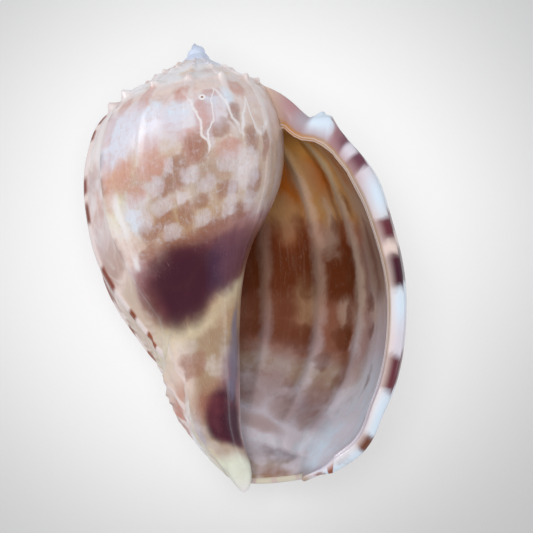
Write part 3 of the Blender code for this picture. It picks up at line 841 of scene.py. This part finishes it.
def patch_group(name, squareness, edge):
    """A soft-edged rounded rectangle: 1 inside and 0 outside."""
    group = bpy.data.node_groups.new(name, "ShaderNodeTree")
    for socket in ("phi", "s", "phi scale", "phi shift", "s scale", "s shift"):
        group.interface.new_socket(socket, in_out="INPUT", socket_type="NodeSocketFloat")
    group.interface.new_socket("mask", in_out="OUTPUT", socket_type="NodeSocketFloat")
    paint = Paint(group)
    given = group.nodes.new("NodeGroupInput").outputs
    powers = []
    for axis in ("phi", "s"):
        away = paint.math("MULTIPLY_ADD", given[axis], given[axis + " scale"], given[axis + " shift"])
        powers.append(paint.math("POWER", paint.math("ABSOLUTE", away), squareness))
    mask = paint.step(paint.add(*powers), edge, 0.0)
    result = group.nodes.new("NodeGroupOutput")
    group.links.new(mask, result.inputs["mask"])
    return group


class ShellPaint(Paint):
    """The shell's own coordinates and the markings built on them."""

    def __init__(self, tree):
        super().__init__(tree)
        self.square = patch_group("square patch", 3.0, 3.6)
        self.cloud = patch_group("cloudy patch", 1.7, 3.4)
        self.phi = self.attribute("phi")
        self.s = self.attribute("s")
        self.side = self.attribute("side")
        self.object = self.node("ShaderNodeTexCoord", {}, {}).outputs["Object"]
        # The same coordinates, wavering, for edges that bled while the shell grew.
        drift = self.less(self.noise(self.object, 300.0, 3.0, 0.55), 0.5)
        waver = self.less(self.noise(self.object, 260.0, 3.0, 0.55, 1.0), 0.5)
        self.soft_phi = self.add(self.phi, self.times(drift, EDGE_DRIFT[0]))
        self.soft_s = self.add(self.s, self.times(waver, EDGE_DRIFT[1]))
        threaded = self.vector(self.times(self.phi, 0.6), self.times(self.s, 6.0))
        self.threads = self.noise(threaded, 1.0, 3.0, 0.6)
        flecked = self.vector(self.times(self.phi, 0.85), self.times(self.s, 34.0))
        self.flecks = self.noise(flecked, 1.0, 4.0, 0.62, 1.6)
        self.haze = self.noise(self.object, 170.0, 3.0, 0.6)
        self.rib, self.rib_number, self.from_rib = ribs(self)

    def patches(self, places, shape=None):
        """All the patches of one colour, as one mask."""
        total = 0.0
        for phi, s, half_phi, half_s in places:
            node = self.tree.nodes.new("ShaderNodeGroup")
            node.node_tree = shape or self.square
            sizes = (1 / half_phi, -phi / half_phi, 1 / half_s, -s / half_s)
            for socket, value in zip(node.inputs, (self.soft_phi, self.soft_s) + sizes):
                self.feed(socket, value)
            total = self.most(total, node.outputs["mask"])
        return total


def ribs(ink):
    """1 on the ribs, the number of the rib, and degrees from its crest."""
    turned = ink.add(ink.phi, 360.0 - LIP_ANGLE - RIB_CREST + RIB_STEP / 2)
    steps = ink.math("DIVIDE", turned, RIB_STEP)
    number = ink.math("FLOOR", steps)
    away = ink.times(ink.less(ink.less(steps, number), 0.5), RIB_STEP)
    mask = ink.times(ink.step(away, -4.2, -2.6), ink.step(away, 4.6, 2.4))
    mask = ink.most(mask, ink.step(ink.phi, -7.0, -10.0))
    return mask, number, away


def blocks(ink, x, soft):
    """1 on the dark blocks along a rib and 0 between them."""
    stops = [(0.9, 0.0)]
    for centre, half in RIB_BLOCKS:
        stops += [(centre - half - soft, 0.0), (centre - half + soft, 1.0)]
        stops += [(centre + half - soft, 1.0), (centre + half + soft, 0.0)]
    return ink.along(x, stops + [(3.0, 0.0)])


def rib_colour(ink, shift):
    """Blue-white to pinkish ribs with maroon blocks, as they show on the lip."""
    s = ink.add(ink.s, shift, ink.times(ink.less(ink.soft_s, ink.s), 0.4))
    pale = ink.shades(s, "pale ribs")
    behind = ink.step(ink.phi, -12.0, 0.0)
    pale = ink.lay(pale, "shell pink", behind, 0.8)
    dark = ink.shades(s, "dark blocks")
    dark = ink.lay(dark, "rust", behind, 0.6)
    return ink.mix(blocks(ink, s, 0.011), pale, dark)


def back_colour(ink):
    """The bare outside: banded ribs, and nested arches in the spaces between them."""
    wander = ink.times(ink.less(ink.random(ink.rib_number), 0.5), 0.06)
    ground = ink.shades(ink.soft_s, "back")
    middle = ink.math("DIVIDE", ink.math("ABSOLUTE", ink.from_rib), RIB_STEP / 2)
    arch = ink.math("POWER", ink.other(middle), 1.6)
    nested = ink.add(ink.times(ink.soft_s, 15.0), ink.times(arch, 1.5))
    nested = ink.add(nested, ink.times(ink.random(ink.add(ink.rib_number, 40.0)), 3.0))
    saw = ink.math("FRACT", nested)
    line = ink.times(ink.step(saw, 0.0, 0.16), ink.step(saw, 0.5, 0.25))
    strong = ink.step(ink.noise(ink.vector(ink.times(ink.rib_number, 1.7), ink.s), 5.0), 0.36, 0.6)
    on_side = ink.add(0.3, ink.times(ink.step(ink.s, 1.0, 1.1), 0.7))
    strong = ink.times(strong, on_side, ink.step(ink.s, 0.1, 0.4), ink.step(ink.s, 2.3, 2.0))
    faded = ink.add(0.25, ink.times(ink.step(ink.phi, 175.0, 140.0), 0.5))
    arches = ink.lay(ground, "brown", line, strong, faded)
    white = ink.times(ink.step(saw, 0.62, 0.78), ink.step(saw, 1.0, 0.9), strong, faded)
    arches = ink.mix(white, arches, "white")
    veiled = ink.times(ink.step(ink.phi, 150.0, 195.0), 0.45)
    arches = ink.lay(arches, "shell pink", veiled, ink.step(ink.s, 1.9, 1.7))
    arches = ink.lay(arches, "beige", veiled, ink.step(ink.s, 1.7, 1.9))
    washed = ink.times(ink.step(ink.phi, 165.0, 190.0), ink.step(ink.s, 1.75, 1.5))
    arches = ink.lay(arches, "white", washed, ink.step(ink.haze, 0.3, 0.55), 0.65)
    return ink.mix(ink.rib, arches, rib_colour(ink, wander))


def callus_colour(ink):
    """The glossy underside, where patterned layers show through the glaze, with painted highlights and
    a painted bluish sheen.
    """
    left = ink.shades(ink.soft_s, "callus left")
    middle = ink.shades(ink.soft_s, "callus middle")
    right = ink.shades(ink.soft_s, "callus right")
    base = ink.mix(ink.step(ink.soft_phi, 213.0, 243.0), left, middle)
    base = ink.mix(ink.step(ink.soft_phi, 262.0, 305.0), base, right)
    # Painted highlight: a white line along each rib crest under the glaze, stronger high on the whorl.
    upper_crest_highlight = ink.times(ink.step(ink.s, 1.55, 1.3), 0.3)
    base = ink.lay(base, "white", ink.rib, ink.add(0.12, upper_crest_highlight), ink.step(ink.s, 1.9, 1.7))
    base = ink.lay(base, "white", ink.step(ink.haze, 0.48, 0.72), 0.4)
    base = ink.lay(base, "brown", ink.step(ink.haze, 0.5, 0.28), 0.3)
    grain = ink.noise(ink.object, 700.0, 3.0, 0.65)
    mottled = ink.add(0.1, ink.times(grain, 0.8), ink.times(ink.flecks, 0.65))
    # The callus's pale blue patches with a painted bluish sheen over them, broken up by the mottling.
    cloudy = ink.step(ink.add(ink.times(grain, 0.6), ink.times(ink.haze, 0.4)), 0.36, 0.52)
    base = ink.lay(base, "blue white", ink.patches(BLUE_PATCHES_AND_SHEEN, ink.cloud), cloudy, 0.85)
    base = ink.lay(base, "salmon", ink.patches(SALMON_PATCHES), mottled, 0.75)
    base = ink.lay(base, "brown", ink.patches(BROWN_PATCHES), mottled, 0.78)
    base = ink.lay(base, "lilac", ink.patches(PALE_PATCHES), mottled, 0.55)
    high = ink.step(ink.s, 2.3, 1.7)
    base = ink.lay(base, "white", ink.step(ink.threads, 0.52, 0.8), high, 0.2)
    base = ink.lay(base, "brown", ink.step(ink.threads, 0.46, 0.2), high, 0.18)
    base = ink.lay(base, "white", ink.step(ink.flecks, 0.52, 0.75), 0.26)
    darker = ink.add(0.06, ink.times(ink.step(ink.s, 1.35, 1.5), 0.18))
    base = ink.lay(base, "brown", ink.step(ink.flecks, 0.48, 0.28), darker)
    motes = ink.noise(ink.object, 850.0, 4.0, 0.68)
    upper = ink.step(ink.s, 1.95, 1.75)
    base = ink.lay(base, "lilac", ink.step(motes, 0.52, 0.66), upper, 0.28)
    base = ink.lay(base, "salmon", ink.step(motes, 0.48, 0.36), upper, 0.18)
    base = ink.lay(base, "white", ink.near(ink.soft_s, 0.12, 0.02, 0.12), 0.6)
    base = ink.lay(base, "peach", ink.patches(SPIRE_SPOTS, ink.cloud), 0.7)
    return drawn_lines(ink, blotches(ink, base))


def drawn_lines(ink, base):
    """A thin zigzag below the shoulder, a painted highlight down a rib near the callus edge and a
    ringed dot.
    """
    line = ink.add(1.0, ink.along(ink.soft_phi, ZIGZAG, "LINEAR"))
    close = ink.near(ink.soft_s, line, 0.004, 0.036)
    drawn = ink.between(ink.phi, ZIGZAG[0][0] + 1.5, ZIGZAG[-1][0] - 1.5, 1.5)
    unbroken = ink.add(0.25, ink.times(ink.step(ink.haze, 0.38, 0.5), 0.55))
    base = ink.lay(base, "white", close, drawn, unbroken)
    # Painted highlight: a white streak down a rib crest near the callus edge, in two pieces.
    bend = ink.math("SINE", ink.times(ink.less(ink.s, 1.53), 11.0))
    streak = ink.near(ink.soft_phi, ink.add(212.5, ink.times(bend, 4.5)), 0.6, 4.4)
    upper = ink.between(ink.soft_s, 1.52, 1.68, 0.03)
    lower = ink.between(ink.soft_s, 1.75, 1.82, 0.03)
    base = ink.lay(base, "white", streak, ink.most(upper, lower), 0.75)
    across = ink.times(ink.less(ink.phi, RINGED_DOT[0]), 0.45)
    down = ink.times(ink.less(ink.s, RINGED_DOT[1]), 50.0)
    length = ink.node("ShaderNodeVectorMath", {"operation": "LENGTH"}, {0: ink.vector(across, down)})
    away = length.outputs["Value"]
    base = ink.mix(ink.step(away, 1.25, 0.8), base, "white")
    return ink.mix(ink.step(away, 0.5, 0.25), base, "brown")


def blotches(ink, base):
    """Two deep wine blotches, on the body whorl and low on the columella, with a painted bluish sheen
    near the lower one.
    """
    wine = ink.shades(ink.soft_s, "blotch down")
    arm = ink.times(ink.step(ink.soft_phi, 262.0, 300.0), ink.step(ink.soft_s, 2.1, 1.9))
    wine = ink.lay(wine, "mauve", arm, 0.4)
    wine = ink.lay(wine, "brown", ink.step(ink.haze, 0.5, 0.72), 0.35)
    band = wide_patch(ink, 266.0, 2.0, 66.0, 0.22)
    base = ink.lay(base, wine, band, 0.85)
    deep = ink.shades(ink.soft_phi, "blotch across")
    base = ink.lay(base, deep, ink.patches(WINE_PATCHES, ink.cloud), 0.95)
    base = ink.lay(base, "plum", ink.patches(PLUM_PATCHES, ink.cloud), 0.75)
    low = ink.mix(ink.step(ink.haze, 0.35, 0.65), "maroon", "wine")
    base = ink.mix(wide_patch(ink, 290.0, 2.91, 50.0, 0.2), base, low)
    # Painted reflection: the bluish sheen on the columella's right edge.
    base = ink.lay(base, "slate", ink.patches(SLATE_SHEEN_PATCHES, ink.cloud), 0.8)
    glints = ink.times(ink.step(ink.flecks, 0.56, 0.72), ink.step(ink.haze, 0.4, 0.6), 0.3)
    return ink.mix(glints, base, "mauve")


def wide_patch(ink, phi, s, half_phi, half_s):
    """One large patch with a broad soft edge."""
    terms = []
    for value, centre, half in ((ink.soft_phi, phi, half_phi), (ink.soft_s, s, half_s)):
        away = ink.math("ABSOLUTE", ink.times(ink.less(value, centre), 1.0 / half))
        terms.append(ink.math("POWER", away, 2.6))
    return ink.step(ink.add(*terms), 1.45, 0.3)


def inner_colour(ink):
    """Ochre under the shoulder, lightened to gold as painted light against the cavity's shade, a
    red-brown band, then lavender clouds towards the base.
    """
    ground = ink.shades(ink.soft_s, "inside")
    folds = ink.shades(ink.soft_s, "folds")
    pale = 0.0
    groove = 0.0
    for fold, strength in PALE_FOLDS:
        pale = ink.most(pale, ink.times(ink.near(ink.soft_phi, fold, 0.5, 4.6), strength))
        groove = ink.most(groove, ink.times(ink.near(ink.soft_phi, fold + 5.5, 0.2, 2.2), strength))
    fading = ink.step(ink.s, 2.05, 1.75)
    edging = ink.shades(ink.soft_s, "inside the lip")
    base = ink.lay(ground, edging, ink.step(ink.soft_phi, 25.0, 6.0), 0.9)
    base = ink.lay(base, "orange", ink.patches(ORANGE_PATCHES, ink.cloud), 0.8)
    base = ink.lay(base, "tan", ink.patches(TAN_PATCHES, ink.cloud), 0.6)
    base = ink.lay(base, "umber", ink.patches(UMBER_PATCHES), 0.7)
    base = ink.lay(base, "umber", groove, 0.4, fading)
    for streak, strength in INNER_STREAKS:
        pale = ink.most(pale, ink.times(ink.near(ink.soft_phi, streak, 0.4, 2.6), strength))
    base = ink.lay(base, folds, pale, 0.8, fading)
    base = ink.lay(base, "beige", ink.patches(HOOK_PATCHES, ink.cloud), 0.5)
    base = ink.lay(base, "umber", ink.patches(DARK_HOOKS, ink.cloud), 0.6)
    low = ink.step(ink.s, 1.64, 1.86)
    base = ink.lay(base, "lilac", ink.step(ink.haze, 0.38, 0.58), low, 0.85)
    bright = ink.step(ink.noise(ink.object, 240.0, 3.0, 0.6), 0.5, 0.66)
    bright = ink.times(bright, ink.step(ink.s, 1.75, 2.0), ink.step(ink.s, 2.6, 2.4))
    base = ink.lay(base, "blue white", bright, 0.5)
    base = ink.lay(base, "brown", ink.patches(RUSSET_CLOUDS, ink.cloud), 0.5)
    base = ink.lay(base, "fawn", ink.step(ink.threads, 0.52, 0.8), 0.15)
    base = ink.lay(base, "fawn", ink.step(ink.flecks, 0.55, 0.75), 0.22)
    return ink.lay(base, "umber", ink.step(ink.flecks, 0.46, 0.28), 0.2)


def rim_colour(ink):
    """The lip's flat edge, banded and paler inwards, with two thin pale lines at its inner side."""
    inner = ink.shades(ink.soft_s, "rim inside")
    upper = ink.shades(ink.soft_s, "rim middle")
    base = ink.lay(rib_colour(ink, 0.0), upper, ink.step(ink.side, 0.25, 0.75), 0.65)
    base = ink.mix(ink.step(ink.side, 0.62, 0.86), base, inner)
    drawn = ink.step(ink.s, 2.2, 1.8)
    for line in RIM_LINES:
        close = ink.near(ink.side, line, 0.005, 0.045)
        base = ink.lay(base, "lilac", close, drawn, 0.6)
    low = ink.step(ink.s, 1.85, 2.2)
    base = ink.lay(base, "lilac", low, ink.step(ink.haze, 0.4, 0.7), 0.7)
    spots = ink.step(ink.noise(ink.object, 420.0, 3.0, 0.6), 0.5, 0.62)
    return ink.lay(base, "brown", low, spots, ink.step(ink.side, 0.75, 0.45), 0.8)


def apex_colour(ink, base):
    """Older whorls grow paler, up to the smooth lavender protoconch."""
    bluish = ink.mix(ink.noise(ink.object, 900.0, 2.0), "periwinkle", "blue white")
    spire = ink.lay(base, "shell pink", ink.step(ink.phi, 560.0, 700.0), 0.4)
    return ink.mix(ink.step(ink.phi, 570.0, 720.0), spire, bluish)


def shell_material():
    """The painted layers inside, outside and on the lip, with the glaze and fine growth lines."""
    material = bpy.data.materials.new("harp_shell")
    material.use_nodes = True
    tree = material.node_tree
    ink = ShellPaint(tree)
    phi, s, side = ink.phi, ink.s, ink.side

    tongue = ink.times(ink.step(s, 1.82, 1.95), ink.step(s, 2.3, 2.1), 12.0)
    spread = ink.add(ink.soft_phi, tongue)
    glaze = ink.times(ink.step(spread, 200.0, 212.0), ink.step(phi, 760.0, 700.0))
    older = ink.times(ink.step(phi, 342.0, 366.0), ink.step(s, 1.0, 0.98))
    glaze = ink.times(glaze, ink.other(older))
    covered = ink.most(glaze, ink.step(s, 2.95, 3.1))
    outside = ink.mix(covered, back_colour(ink), callus_colour(ink))
    outside = apex_colour(ink, outside)
    deep = ink.times(ink.step(phi, 340.0, 350.0), ink.step(s, 1.0, 1.02), ink.step(s, 3.2, 2.9))
    inward = ink.most(ink.step(side, 0.9, 1.0), deep)
    colour = ink.mix(inward, outside, inner_colour(ink))
    lip = ink.times(ink.step(phi, -8.0, -17.0), ink.step(side, 0.0, 0.04), ink.step(s, 2.9, 2.5))
    colour = ink.mix(lip, colour, rim_colour(ink))

    grain = ink.noise(ink.object, 1500.0, 3.0, 0.6)
    smooth = ink.most(glaze, ink.step(side, 0.2, 0.8))
    rough = ink.add(ink.times(ink.other(smooth), BARE_ROUGHNESS), ink.times(grain, 0.06))
    height = ink.times(ink.threads, ink.add(0.1, ink.times(ink.other(smooth), 0.9)))
    height = ink.add(height, ink.times(ink.flecks, 0.25))
    strength, depth = GROWTH_LINES
    bump = ink.node("ShaderNodeBump", {}, {"Height": height, "Strength": strength, "Distance": depth})

    shader = tree.nodes["Principled BSDF"]
    ink.feed(shader.inputs["Base Color"], colour)
    ink.feed(shader.inputs["Roughness"], ink.add(rough, GLAZED_ROUGHNESS))
    ink.feed(shader.inputs["Normal"], bump.outputs["Normal"])
    shader.inputs["Coat Weight"].default_value, shader.inputs["Coat Roughness"].default_value = COAT
    return material


def camera_axes():
    """The viewer's direction and the picture's up: a little towards the tip, the apex leaning left."""
    pitch = np.radians(VIEW_PITCH)
    lean = np.radians(VIEW_LEAN)
    toward = Vector((0.0, -np.sin(pitch), np.cos(pitch)))
    spire = Vector((0.0, np.cos(pitch), np.sin(pitch)))
    up = spire * np.cos(lean) + Vector((1.0, 0.0, 0.0)) * np.sin(lean)
    rest = Euler([np.radians(a) for a in REST_TILT]).to_matrix()
    return rest @ toward, rest @ up


def add_camera(mesh):
    """A camera far off, placed from the apex. Returns the point that it looks at."""
    toward, up = camera_axes()
    right = up.cross(toward).normalized()
    up = toward.cross(right)
    apex = max((v.co for v in mesh.vertices), key=lambda co: co.y)
    aim = apex + right * FRAME_RIGHT_OF_APEX - up * FRAME_BELOW_APEX
    low, high = (Vector(corner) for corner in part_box("shell"))
    aim += toward * ((low + high) * 0.5 - aim).dot(toward)
    camera = bpy.data.cameras.new("camera")
    camera.lens = camera.sensor_width * CAMERA_DISTANCE / FRAME_WIDTH
    camera.clip_end = 20.0
    camera_object = bpy.data.objects.new("camera", camera)
    camera_object.matrix_world = Matrix.Translation(aim + toward * CAMERA_DISTANCE) @ (
        Matrix((right, up, toward)).transposed().to_4x4()
    )
    bpy.context.scene.collection.objects.link(camera_object)
    bpy.context.scene.camera = camera_object
    return aim


def add_lamps(aim):
    """The area lamps, each facing the aimed point."""
    for name, (direction, distance, size, power, colour, glossy) in LAMPS.items():
        lamp = bpy.data.lights.new(name, "AREA")
        lamp.size = size
        lamp.energy = power
        lamp.color = colour
        lamp_object = bpy.data.objects.new(name, lamp)
        lamp_object.visible_glossy = glossy
        direction = Vector(direction).normalized()
        facing = direction.to_track_quat("Z", "Y").to_matrix().to_4x4()
        lamp_object.matrix_world = Matrix.Translation(aim + direction * distance) @ facing
        bpy.context.scene.collection.objects.link(lamp_object)


def add_floor():
    """The wide flat ground that the shell lies on."""
    mesh = bpy.data.meshes.new("floor")
    half = FLOOR_HALF_WIDTH
    corners = [(-half, -half, 0), (half, -half, 0), (half, half, 0), (-half, half, 0)]
    mesh.from_pydata(corners, [], [(0, 1, 2, 3)])
    mesh.materials.append(floor_material())
    floor = bpy.data.objects.new("floor", mesh)
    bpy.context.scene.collection.objects.link(floor)


def floor_material():
    """A pale matt floor. Seen directly it is lifted towards white, and keeps part of the shadow."""
    material = bpy.data.materials.new("floor")
    material.use_nodes = True
    tree = material.node_tree
    paint = Paint(tree)
    shader = tree.nodes["Principled BSDF"]
    shader.inputs["Base Color"].default_value = FLOOR_COLOUR
    shader.inputs["Roughness"].default_value = 0.7
    shader.inputs["Specular IOR Level"].default_value = 0.1
    spot = paint.node("ShaderNodeTexCoord", {}, {}).outputs["Object"]
    away = paint.node("ShaderNodeVectorMath", {"operation": "DISTANCE"}, {0: spot, 1: FLOOR_LIGHT_SPOT})
    start, end, darkening = FLOOR_SHADE
    glow = paint.less(1.0, paint.times(paint.step(away.outputs["Value"], start, end), darkening))
    light = paint.node("ShaderNodeEmission", {}, {"Strength": glow})
    rays = paint.node("ShaderNodeLightPath", {}, {}).outputs
    seen = paint.most(rays["Is Glossy Ray"], rays["Is Transmission Ray"])
    seen = paint.most(rays["Is Camera Ray"], seen)
    both = paint.node("ShaderNodeMixShader", {}, {"Fac": paint.times(seen, FLOOR_LIFT)})
    tree.links.new(shader.outputs["BSDF"], both.inputs[1])
    tree.links.new(light.outputs["Emission"], both.inputs[2])
    tree.links.new(both.outputs["Shader"], tree.nodes["Material Output"].inputs["Surface"])
    return material


def add_world():
    """A faint even light from all around."""
    world = bpy.data.worlds.new("studio")
    world.use_nodes = True
    background = world.node_tree.nodes["Background"]
    background.inputs["Color"].default_value = WORLD_COLOUR
    background.inputs["Strength"].default_value = WORLD_STRENGTH
    bpy.context.scene.world = world


mesh = shell_mesh()
mesh.materials.append(shell_material())
shell = bpy.data.objects.new("harp_shell", mesh)
bpy.context.scene.collection.objects.link(shell)
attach(shell, "root")
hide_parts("shell")

aim = add_camera(mesh)
add_floor()
add_world()
add_lamps(aim)
bpy.context.scene.view_settings.view_transform = "Standard"
